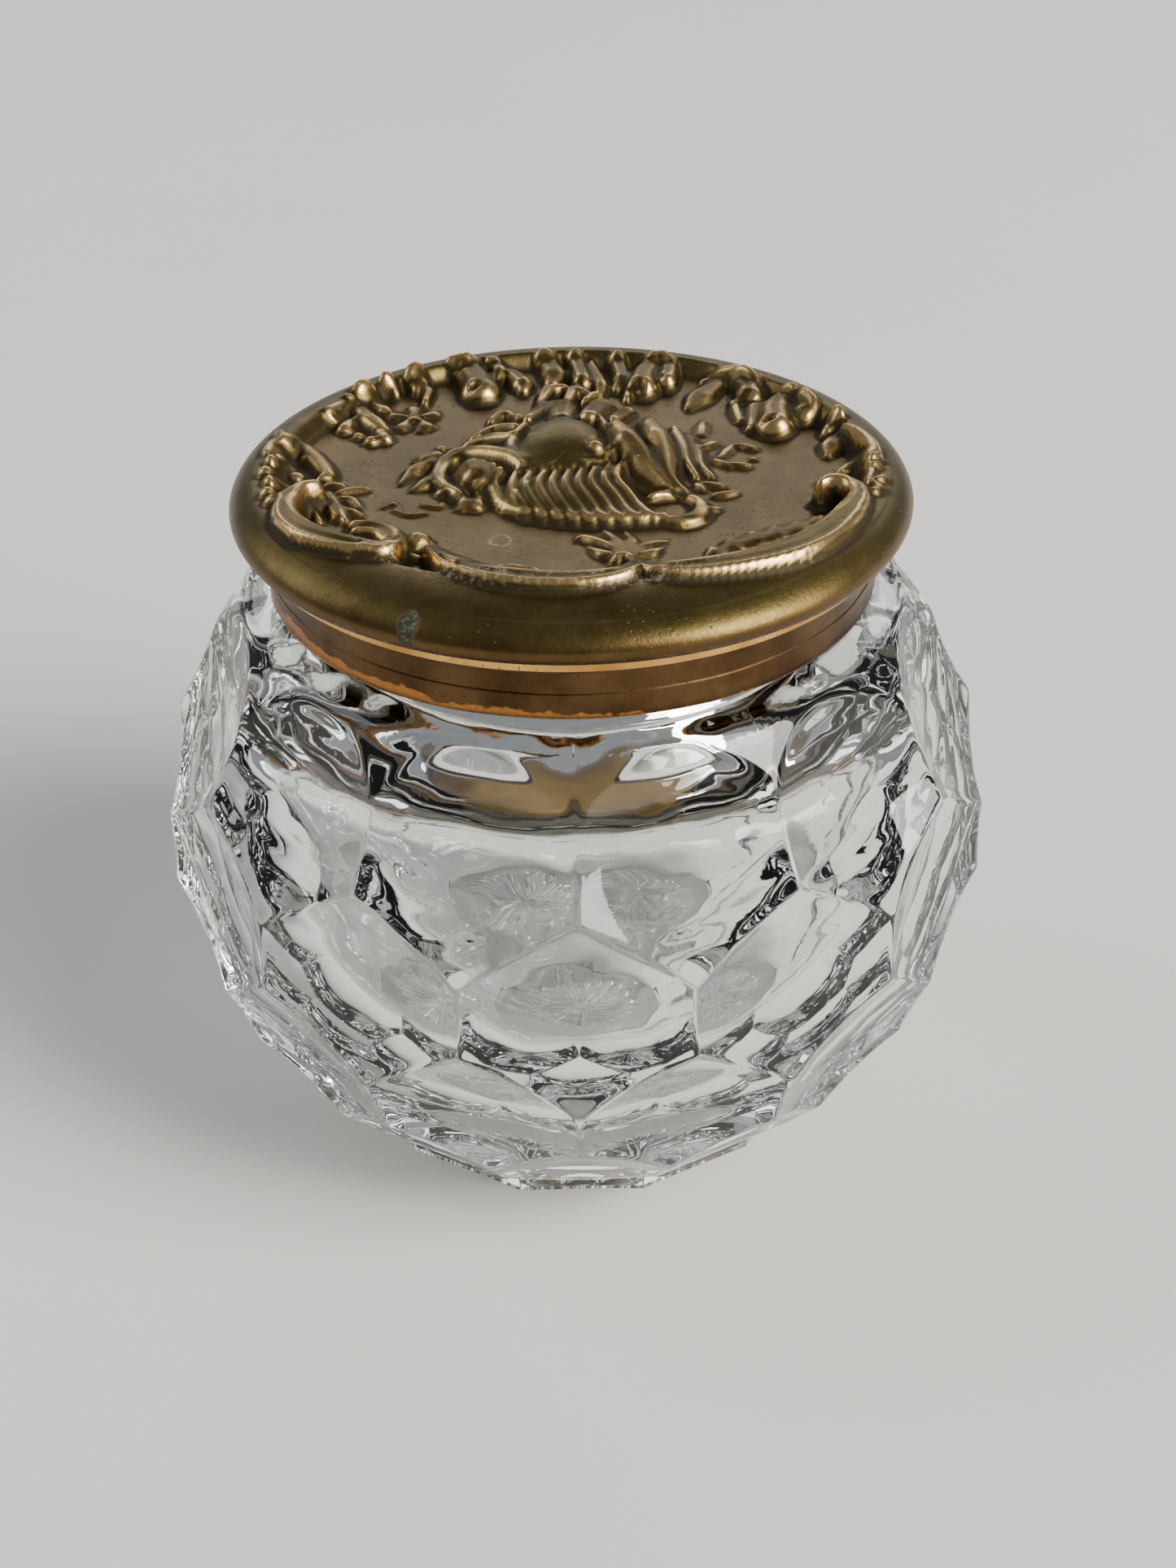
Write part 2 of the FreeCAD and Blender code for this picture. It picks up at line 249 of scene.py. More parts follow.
def jarOutside(angles):
    step = 2 * math.pi / jar["cellsPerRow"]
    rho = jar["facetRadius"]
    circles = []
    for r, z, odd in facetCentres():
        off = (angles - odd * step / 2 + step / 2) % step - step / 2
        circles.append((r * np.cos(off), z + 0 * off, np.sqrt(rho ** 2 - (r * np.sin(off)) ** 2)))
    top, second, third, bottom = circles
    belly = (jar["bellyRadius"], jar["bellyHeight"])
    shoulder = (jar["shoulderRadius"], jar["shoulderHeight"])
    side = swell(belly, shoulder)
    arcs = (side[0] + 0 * angles, side[1] + 0 * angles, side[2] + 0 * angles)
    foot = (bottom[0] - np.sqrt(bottom[2] ** 2 - bottom[1] ** 2), 0 * angles)
    knots = [foot, crossing(bottom, third), crossing(third, second), crossing(second, top),
             crossing(top, arcs, True)]
    radii, heights = [], []
    share = eased(jar["rowsPerFacet"] + 1, jar["gathering"])
    for number, (r, z, radius) in enumerate([bottom, third, second, top]):
        low = np.arcsin((knots[number][1] - z) / radius)
        high = np.arcsin((knots[number + 1][1] - z) / radius)
        for s in share[:-1]:
            turn = low + s * (high - low)
            radii.append(r - radius * np.cos(turn))
            heights.append(z + radius * np.sin(turn))
    # smooth shoulder, from each thumbprint's upper edge to the neck's foot
    start = math.asin((knots[4][1].min() - side[1]) / side[2]) - 0.02
    end = math.asin((shoulder[1] - side[1]) / side[2])
    turn = np.linspace(start, end, 60)
    arc = np.stack([side[0] + side[2] * np.cos(turn), side[1] + side[2] * np.sin(turn)], 1)
    along = np.array([-math.sin(end), math.cos(end)]) * jar["shoulderEase"]
    neck = (jar["neckRadius"], jar["neckFoot"])
    below = (neck[0], neck[1] - jar["filletHandle"])
    bend = bezierPoints([shoulder, np.array(shoulder) + along, below, neck], 60)
    line = np.concatenate([arc, bend[1:]])
    run = np.concatenate([[0], np.cumsum(np.hypot(*np.diff(line, axis=0).T))])
    begin = np.interp(knots[4][1], line[:, 1], run)
    for s in eased(20, 0.6):
        place = begin + s * (run[-1] - begin)
        radii.append(np.interp(place, run, line[:, 0]))
        heights.append(np.interp(place, run, line[:, 1]))
    radii, heights = np.array(radii), np.array(heights)
    points = np.stack([radii * np.sin(angles), -radii * np.cos(angles), heights], -1)
    return points, line, side


def polish(points, line, side):  # rounds the ridges as fire polishing does
    step = 2 * math.pi / jar["cellsPerRow"]
    centres = []
    for r, z, odd in facetCentres():
        for cell in range(jar["cellsPerRow"]):
            a = (cell + odd / 2) * step
            centres.append((r * math.sin(a), -r * math.cos(a), z))
    soft = jar["ridgeSoftness"]

    def inside(p):
        radius = np.hypot(p[..., 0], p[..., 1])
        edge = np.interp(p[..., 2], line[:, 1], line[:, 0])
        slope = np.interp(p[..., 2], line[1:, 1], np.diff(line[:, 1]) / np.hypot(*np.diff(line, axis=0).T))
        upper = (radius - edge) * slope
        lower = np.hypot(radius - side[0], p[..., 2] - side[1]) - side[2]
        total = np.where(p[..., 2] > line[0, 1], upper, lower)
        total = softMax(total, -p[..., 2], soft)
        for c in centres:
            total = softMax(total, jar["facetRadius"] - np.linalg.norm(p - c, axis=-1), soft)
        return total

    for _ in range(3):
        value = inside(points)
        grow = np.stack([inside(points + 0.01 * np.eye(3)[k]) - value for k in range(3)], -1) / 0.01
        points = points - grow * (value / np.maximum((grow ** 2).sum(-1), 0.3))[..., None]
    return points


def starHeight(radius, angles):
    ray = 2 * math.pi / jar["starRays"]
    across = np.abs((angles % ray) / ray * 2 - 1)  # 1 on the ridges between rays, 0 down their middles
    straight = jar["starOuter"] - jar["starEnd"]
    end = np.sqrt(np.maximum(1 - ((radius - straight).clip(0) / jar["starEnd"]) ** 2, 0)) + 1e-6
    hollow = np.maximum(1 - (across / end) ** 2, 0)
    start = ((radius - jar["starInner"]) / 2.5).clip(0, 1)
    return jar["starDepth"] * hollow ** 0.8 * start


def turnedRows(line, angles):
    line = np.asarray(line)
    return np.stack([line[:, :1] * np.sin(angles), -line[:, :1] * np.cos(angles),
                     line[:, 1:] + 0 * angles], -1)


def pushed(points, depth):  # moved away from the frame's origin
    return points + depth[..., None] * points / np.linalg.norm(points, axis=-1, keepdims=True)


def makeJar(material):
    angles = jarColumns()
    outer, line, side = jarOutside(angles)
    outer = polish(outer, line, side)
    outer = pushed(outer, waves(outer, jar["waveLength"], jar["seed"]) * jar["wave"])
    flow = waves(outer * np.array([0.25, 0.25, 2.6]), jar["waveLength"], jar["seed"] + 2) * jar["flow"]
    flow *= ((outer[..., 2] - jar["flowStart"]) / jar["flowGrow"]).clip(0, 1)
    flow *= (jar["flowEnd"] - outer[..., 2]).clip(0, 1)
    outer = pushed(outer, flow)
    outer[0, :, 2] = 0
    # underside, from the resting face in to the star
    under = []
    for s in np.linspace(0, 1, 5)[1:]:
        foot = np.hypot(outer[0, :, 0], outer[0, :, 1])
        radius = foot * (1 - s) + (jar["starOuter"] + 1.0) * s
        under.append(np.stack([radius * np.sin(angles), -radius * np.cos(angles), 0 * angles], -1))
    for radius in np.concatenate([np.linspace(jar["starOuter"], jar["starOuter"] - jar["starEnd"], 9),
                                  np.linspace(jar["starOuter"] - jar["starEnd"] - 1, 4.8, 10),
                                  np.linspace(4.2, 1.6, 7)]):
        height = starHeight(radius, angles)
        under.append(np.stack([radius * np.sin(angles), -radius * np.cos(angles), height], -1))
    # lip, throat, cavity and floor
    throat = (jar["mouthRadius"], jar["throatHeight"])
    wide = (jar["cavityRadius"], jar["cavityHeight"])
    lipTop, lip, neck, mouth = jar["lipHeight"], jar["lipRound"], jar["neckRadius"], jar["mouthRadius"]
    inner = [(neck, lipTop - lip)]
    inner += list(quarterPoints((neck, lipTop - lip), (neck, lipTop), (neck - lip, lipTop), 5)[1:])
    inner += list(quarterPoints((mouth + lip, lipTop), (mouth, lipTop), (mouth, lipTop - lip), 5))
    inner += [(mouth, z) for z in np.linspace(75.5, throat[1] + 0.7, 6)]
    square = jar["cavitySquare"]
    ceiling = (mouth + square * (wide[0] - mouth), throat[1])
    corner = (wide[0], wide[1] + square * (throat[1] - wide[1]))
    inner += list(bezierPoints([throat, ceiling, corner, wide], 60))
    floor = (jar["floorRadius"], jar["floorHeight"])
    inner += list(quarterPoints(wide, (wide[0], floor[1]), floor, 26)[1:])
    inner += [(6.0, floor[1]), (3.0, floor[1]), (1.0, floor[1])]
    inside = turnedRows(inner, angles)
    flat, fine = np.array([0.6, 0.6, 2.2]), np.array([1.0, 1.0, 2.6])
    ripple = waves(inside * flat, jar["innerWave"], jar["seed"] + 1) * jar["innerRipple"]
    ripple += waves(inside * fine, jar["scaleLength"], jar["seed"] + 3) * jar["scaleRipple"]
    inside = pushed(inside, ripple * (inside[..., 2] < throat[1]))
    rows = list(reversed(under)) + list(outer) + list(inside)
    points = np.concatenate(rows)
    columns = len(angles)
    faces = ringFaces(len(rows), columns)
    faces.append(tuple(range(columns))[::-1])
    faces.append(tuple(range(len(points) - columns, len(points))))
    return makeMesh("glassJar", points, faces, material)


def clearGlass():
    paint = Paint("clearGlass")
    place = paint.place()
    grain = paint.noise(place, 0.0012, 3.0)
    return paint.finish({
        "Base Color": (0.965, 0.985, 0.975, 1.0), "Roughness": 0.012, "IOR": 1.52,
        "Transmission Weight": 1.0, "Normal": paint.bump(grain, 0.000004),
    })


glassPaint = clearGlass()
glassJar = makeJar(glassPaint)
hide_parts("glass_body")
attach(glassJar, "jar")
print("jar made")


# ---------- pressed lid ----------
# Outlines are drawn as seen from drawPoint and dropped along that slant onto the face they stand on.
lid = {
    "drawPoint": (2.5, -257.0, 206.5), "drawHeight": 87.0,
    "gridCount": 272, "gridRadius": 37.6,
    "rimRadius": 40.3, "rimHeight": 84.0, "rimFoot": (37.8, 82.0), "rimFlat": 1.12,
    "wallFoot": 33.2, "wallFrontIn": 4.4, "wallWidth": 2.2, "crestHeight": 87.55, "crestLean": 0.45,
    "deckStart": 22.0, "deckEnd": 31.5, "deckLift": 0.2,
    "discHeight": 84.9, "moundCentre": (0.3, 5.2), "moundRadius": 15.5, "moundRise": 3.9,
    "flangeBore": 36.1, "capRadius": 33.0, "capHeight": 83.3,
    "blend": 0.14, "dent": 0.05, "dentLength": 13.0, "seed": 5,
}


def lidBase(x, y):  # height of the plain face under the relief
    radius = np.hypot(x, y) + 1e-9
    back = y / radius
    foot = lid["wallFoot"] - lid["wallFrontIn"] * np.minimum(back, 0) ** 2
    crest = foot + lid["wallWidth"]
    top = lid["crestHeight"] - lid["crestLean"] * back
    rise = ((radius - foot) / (crest - foot)).clip(0, 1)
    rise = rise * rise * (3 - 2 * rise)
    dish = 0.35 * (radius / foot).clip(0, 1) ** 4
    height = lid["discHeight"] + dish + (top - lid["discHeight"] - dish) * rise
    power = 2 / lid["rimFlat"]
    out = ((radius - crest) / (lid["rimRadius"] - crest)).clip(0, 1)
    roll = lid["rimHeight"] + (top - lid["rimHeight"]) * (1 - out ** power) ** (1 / power)
    height = np.where(radius > crest, roll, height)
    cx, cy = lid["moundCentre"]
    away = (np.hypot(x - cx, y - cy) / lid["moundRadius"]).clip(0, 1)
    return height + lid["moundRise"] * (1 - away ** 2) ** 1.5


def borderLevel(x, y):  # level the border stands at, the crest's outside and the disc's further in
    radius = np.hypot(x, y) + 1e-9
    near = ((radius - lid["deckStart"]) / (lid["deckEnd"] - lid["deckStart"])).clip(0, 1)
    near = near * near * (3 - 2 * near)
    crest = lid["crestHeight"] - lid["crestLean"] * y / radius
    deck = lid["discHeight"] + lid["deckLift"]
    return deck + (crest - deck) * near


def dropped(points, heights, face=lidBase):  # from the drawing to the face
    points = np.array(points, float)
    ex, ey, ez = lid["drawPoint"]
    x, y = points[:, 0], points[:, 1]
    z = lid["drawHeight"] + 0 * x
    for _ in range(12):
        share = (ez - z) / (ez - lid["drawHeight"])
        gx, gy = ex + (x - ex) * share, ey + (y - ey) * share
        z = 0.5 * z + 0.5 * (face(gx, gy) + heights)
    return np.stack([gx, gy], 1)


def spaced(values, count):
    values = np.atleast_1d(np.array(values, float))
    return np.interp(np.linspace(0, 1, count), np.linspace(0, 1, len(values)), values)


def curved(points, count):  # smooth line through the points
    p = np.array(points, float)
    if len(p) == 2:
        p = np.array([p[0], (p[0] + p[1]) / 2, p[1]])
    p = np.vstack([2 * p[0] - p[1], p, 2 * p[-1] - p[-2]])
    t = np.linspace(0, len(p) - 3 - 1e-6, count)
    k = t.astype(int)
    u = (t - k)[:, None]
    a, b, c, d = p[k], p[k + 1], p[k + 2], p[k + 3]
    square, cube = 2 * a - 5 * b + 4 * c - d, 3 * b - a - 3 * c + d
    return 0.5 * (2 * b + (c - a) * u + square * u ** 2 + cube * u ** 3)


class Relief:
    def __init__(self, x, y):
        self.x, self.y = x, y
        self.height = np.zeros_like(x)

    def add(self, points, width, rise, vein=0.0, count=None, crest=False):
        count = count or 6 + 4 * len(points)
        widths, rises = spaced(width, count), spaced(rise, count)
        path = dropped(curved(points, count), rises, borderLevel if crest else lidBase)
        far = widths.max() * 1.3 + 0.3
        low, high = path.min(0) - far, path.max(0) + far
        near = (self.x > low[0]) & (self.x < high[0]) & (self.y > low[1]) & (self.y < high[1])
        if not near.any():
            return
        px, py = self.x[near][:, None], self.y[near][:, None]
        ax, ay = path[:-1, 0], path[:-1, 1]
        bx, by = np.diff(path[:, 0]), np.diff(path[:, 1])
        t = (((px - ax) * bx + (py - ay) * by) / (bx ** 2 + by ** 2 + 1e-12)).clip(0, 1)
        gap = np.hypot(px - ax - t * bx, py - ay - t * by)
        wide = widths[:-1] + t * np.diff(widths)
        high = rises[:-1] + t * np.diff(rises)
        share = gap / wide
        best = np.argmin(share, axis=1)[:, None]
        u = np.take_along_axis(share, best, 1)[:, 0]
        h = np.take_along_axis(high, best, 1)[:, 0]
        body = h * np.maximum(1 - u ** 2, 0) ** 0.62
        body -= vein * h * np.exp(-(u / 0.22) ** 2)
        if crest:  # stands at the crest's level even where the face drops away
            gx, gy = self.x[near], self.y[near]
            body += np.maximum(borderLevel(gx, gy) - lidBase(gx, gy), 0) * ((1 - u) / 0.3).clip(0, 1) ** 0.6
        trench = -0.16 * h.clip(0, 1) * np.exp(-((u - 1.12) / 0.14) ** 2)
        old = self.height[near]
        new = np.where(u < 1, softMax(old, body, lid["blend"]), old + trench * (old < 0.4))
        self.height[near] = new

    def ball(self, x, y, radius, rise=None):
        self.add([(x - 0.05, y), (x + 0.05, y)], radius, rise or radius * 0.9, count=3)

    def hollow(self, x, y, radius, depth):
        place = dropped([(x, y)], np.zeros(1))[0]
        gap = np.hypot(self.x - place[0], self.y - place[1]) / radius
        self.height -= depth * np.maximum(1 - gap ** 2, 0)

    def band(self, points, width, rise, side=1, edge=0.3, crest=True):  # a ribbon with a raised outer edge
        self.add(points, width, rise, crest=crest)
        line = curved(points, 40)
        run = np.gradient(line, axis=0)
        run /= np.hypot(run[:, 0], run[:, 1])[:, None] + 1e-9
        widths = spaced(width, 40)[:, None]
        offset = line + side * np.stack([run[:, 1], -run[:, 0]], 1) * widths * 0.78
        self.add(offset[::3], 0.6, spaced(rise, 14) * 0.8 + edge, count=60, crest=crest)

    def fan(self, starts, ends, bulge, width, rise):  # ribs from one row of points to another
        for (x0, y0), (x1, y1), swing in zip(starts, ends, bulge):
            middle = ((x0 + x1) / 2 + swing, (y0 + y1) / 2)
            self.add([(x0, y0), (x1, y1)], width, rise)

    def flower(self, x, y, radius, petals, turn=0.0):
        for n in range(petals):
            a = turn + 2 * math.pi * n / petals
            self.add([(x + 0.5 * radius * math.cos(a), y + 0.5 * radius * math.sin(a)),
                      (x + 1.35 * radius * math.cos(a), y + 1.5 * radius * math.sin(a))],
                     (0.35 * radius, 0.62 * radius), 0.75)
        self.ball(x, y, 0.5 * radius, 1.0)


def frontBorder(relief):
    relief.add([(15.2, -22.6), (18, -20.4), (22, -18), (26, -16), (28.4, -14)], (0.8, 1.8, 1.8, 1.0), 0.75)
    for x, y, turn in [(15.6, -21, 0), (17.6, -19, 0), (20.2, -17.4, 0), (22.8, -16.2, 0), (25.4, -15.2, 0),
                       (27.6, -14, 0)]:
        relief.add([(x + 0.9, y - 1.6), (x, y)], (1.2, 0.8), (0.8, 1.0), 0.2)
    relief.band([(6.9, -22.9), (9.3, -24.4), (13.6, -24.3), (19.1, -22.9), (24.7, -19.9), (29.1, -15.2),
                 (31.9, -10), (33.0, -6.3), (32, -3.7), (30.3, -3.3), (29, -4.6)],
                (0.7, 1.5, 1.8, 2.1, 2.3, 2.2, 1.8, 1.3, 1.0, 0.8, 0.5), 1.3)
    relief.hollow(29.6, -7.6, 2.6, 0.5)
    relief.band([(-15.6, -19.2), (-13.6, -21.6), (-10.3, -24.3), (-5.9, -26.2), (-0.3, -26.9), (4, -26.2),
                 (6.7, -24.5), (6.4, -22.7), (5, -22.4)], (0.8, 1.8, 1.9, 1.9, 1.7, 1.4, 0.9, 0.6, 0.4), 1.3)
    relief.add([(-9, -24.2), (-6.4, -24.4), (-2.6, -25.6)], (0.3, 0.6, 0.3), 1.2)
    for leaf in [[(6, -22.5), (5.2, -19), (3.6, -16.2)],
                 [(5.6, -22), (3.8, -19.4), (1.4, -17.6), (0.4, -18.8)],
                 [(5.4, -22.6), (3.4, -21.6), (1.8, -20.4)], [(6.5, -22.3), (6.8, -19), (6, -16.8)],
                 [(6.9, -22.3), (8.4, -19.8), (10.8, -19.2)], [(7.2, -22.6), (8.9, -21.6), (10.3, -20.9)]]:
        relief.add(leaf, (0.5, 0.95, 0.35), (0.9, 1.0, 0.5), 0.25)
    relief.ball(4.9, -23.5, 1.0)
    relief.ball(6.9, -25.9, 0.9, 0.5)
    relief.ball(8.4, -26.2, 0.6, 0.4)
    # left of the front
    relief.band([(-29.4, -2.9), (-31.3, -3.4), (-32.6, -6.3), (-32.4, -10.2), (-30.6, -13.6), (-27.4, -16.3),
                 (-23.9, -18), (-20.6, -18.6), (-19.3, -17)],
                (0.6, 1.1, 1.5, 1.8, 2.0, 1.9, 1.7, 1.3, 0.8), 1.4)
    relief.fan([(-31.2, -5), (-29.6, -4.2), (-28, -5.6)], [(-28.6, -12.6), (-26.9, -11.8), (-25.6, -12.6)],
               [-0.6, 0.1, 0.2], (0.6, 0.9, 0.5), 1.0)
    for leaf in [[(-28.6, -3), (-27, -3.4), (-26, -4.6)], [(-27, -5.4), (-25, -4.6), (-23.4, -4.6)],
                 [(-26.6, -7), (-25.2, -7.4), (-24.2, -9.4)], [(-26, -9.6), (-24.8, -10.6), (-23.8, -11.4)]]:
        relief.add(leaf, (0.5, 0.8, 0.3), 0.8, 0.2)
    relief.add([(-24.8, -13.4), (-21.8, -14), (-20, -15.8), (-19.6, -18.2)], (0.7, 1.5, 1.6, 0.9), 1.5)
    relief.add([(-24.6, -14.9), (-22, -15.7), (-20.8, -17.4)], (0.5, 0.8, 0.5), 1.5)
    relief.ball(-17.2, -16.9, 1.8, 1.7)
    relief.ball(-15.7, -19.3, 0.9)
    relief.add([(-21.4, -20), (-18.4, -21.4), (-16.2, -22.4)], (0.5, 1.1, 0.4), 0.9, 0.2)
    relief.add([(-20, -19.2), (-17.4, -20)], (0.6, 0.8), 0.9)


def leftBorder(relief):
    for x, y, r in [(-33.7, 2.3, 1.4), (-35.7, 4.4, 1.2), (-36.2, 1.2, 1.2), (-35.1, -1.5, 1.3),
                    (-32.4, -0.6, 1.3), (-33.3, -3.7, 1.2), (-35.4, -4.4, 1.1), (-34.6, -6.5, 1.1),
                    (-31.8, 4.4, 1.0)]:
        relief.ball(x, y, r, 1.0)
    relief.add([(-36, 12.4), (-34.2, 9.6), (-31.8, 7), (-29.8, 3.2), (-28.8, 0), (-29.6, -1.6)],
               (0.7, 1.2, 1.5, 1.5, 1.3, 0.6), (0.8, 1.3, 1.5, 1.3, 1.0))
    relief.add([(-34.6, 10.4), (-36.4, 8.6), (-36.6, 6.2)], (0.6, 1.2, 0.6), 0.9, 0.2)
    # spray and flower at the back left
    relief.add([(-27.6, 21.8), (-26, 18), (-24, 14.8), (-22.6, 12.4)],
               (0.8, 1.5, 1.5, 0.7), (1.0, 1.6, 1.1), 0.2)
    for leaf in [[(-27.6, 20), (-29.4, 17), (-28.6, 14.4)], [(-25.8, 20), (-23.2, 18.6), (-22.2, 16)],
                 [(-26.2, 16), (-27.8, 13.4), (-26.6, 11.2)], [(-24, 12.4), (-22.6, 10.6), (-21.8, 9.4)]]:
        relief.add(leaf, (0.6, 1.15, 0.4), (0.8, 1.3, 0.6), 0.25)
    relief.ball(-24.2, 9.3, 1.1)
    relief.ball(-25.8, 10.4, 0.9)
    relief.flower(-19.3, 15.3, 1.9, 5, 0.4)
    relief.ball(-16.6, 16.9, 0.6)
    relief.add([(-18.6, 12.8), (-18.3, 11.4)], 0.5, 0.6)
    relief.ball(-25.9, 24.8, 1.9, 1.5)
    relief.add([(-22.2, 24.4), (-23.4, 28.6)], (0.9, 1.3), 1.4)
    relief.add([(-19.4, 24.2), (-19.6, 28), (-20, 32)], (1.0, 1.8, 1.4), (1.2, 1.9, 1.3))
    relief.add([(-18.2, 20.4), (-18, 24.4)], (0.7, 1.0), 1.1)


def backBorder(relief):
    for points, width, rise in [
            ([(-12, 23.6), (-11.6, 27), (-12.8, 31), (-15, 34)], (1.5, 2.8, 2.5, 1.4), (1.4, 2.6, 2.2, 1.0)),
            ([(-9.6, 27), (-9.2, 31), (-10.4, 34)], (0.7, 1.3, 0.9), (1.2, 1.9, 1.2)),
            ([(-6, 24.2), (-6.2, 27), (-7.6, 29.6), (-9, 30.6)], (1.0, 1.6, 1.3, 0.6), (1.2, 1.8, 1.4, 0.7)),
            ([(-2.4, 26.4), (-2.2, 30), (-3.4, 34)], (1.2, 2.0, 1.5), (1.2, 1.7, 1.2)),
            ([(1, 24.4), (1.5, 28), (0.6, 34)], (0.9, 1.6, 1.4), (1.2, 2.1, 1.5)),
            ([(3.6, 21.8), (3.8, 26), (2.7, 32)], (0.7, 1.2, 0.8), (1.0, 1.7, 1.2)),
            ([(5.8, 24), (6.6, 28), (6, 33.6)], (0.9, 1.5, 1.3), (1.1, 1.9, 1.4)),
            ([(8.6, 23), (9, 27), (9.8, 31), (11.8, 34)], (1.2, 2.3, 2.1, 1.2), (1.3, 2.5, 2.2, 1.2)),
            ([(10.8, 25.4), (12.2, 28), (12.6, 31.4), (11.4, 33.8)],
             (0.8, 1.6, 1.5, 0.7), (1.2, 2.2, 1.9, 1.0)),
            ([(7, 20.8), (7.6, 24.4)], (0.6, 1.1), 1.1),
            ([(14.6, 17.5), (16.4, 22), (19.6, 26)], (0.8, 2.0, 1.1), (0.8, 1.3, 0.9)),
            ([(16.8, 25.6), (20.8, 29)], (0.7, 1.1), 0.9),
            ([(21.8, 19.6), (22.6, 23), (21.6, 28)], (1.1, 2.1, 1.5), (1.2, 2.2, 1.5)),
            ([(24.2, 11.4), (25.2, 15), (25.6, 19), (27.6, 22.6)],
             (1.1, 2.5, 2.3, 1.2), (1.2, 2.6, 2.2, 1.2)),
            ([(22, 12), (23, 17.8)], (0.7, 1.5), 1.3),
            ([(27.8, 14), (29, 17), (29, 21)], (1.0, 1.8, 1.3), (1.2, 2.1, 1.4)),
            ([(20.8, 13.6), (20.4, 19)], (0.5, 1.0), 1.0),
            ([(31.2, 10.6), (32.6, 15.8)], (0.9, 1.6), 1.6)]:
        relief.add(points, width, rise, 0.12)
    # right
    relief.add([(30.6, 3), (31.5, 6.6), (33.3, 10)], (0.7, 1.8, 0.9), (0.8, 1.3, 1.0), 0.15)
    relief.add([(33.2, 11), (35.4, 8.8), (36.3, 5.8), (35.4, 3.2), (33.2, 1.6)],
               (0.7, 1.1, 1.2, 1.0, 0.5), 1.3)
    relief.add([(36.9, 3.4), (34.8, 1.9), (32.4, -0.6), (30.8, -3)], (0.5, 1.3, 1.1, 0.5), 1.4)
    relief.add([(36.4, 0.7), (34, -0.7), (32.6, -2)], (0.5, 0.8, 0.4), 1.1)
    relief.flower(34.8, -3.8, 1.5, 5, 0.2)
    relief.ball(35.1, -6.6, 0.9)


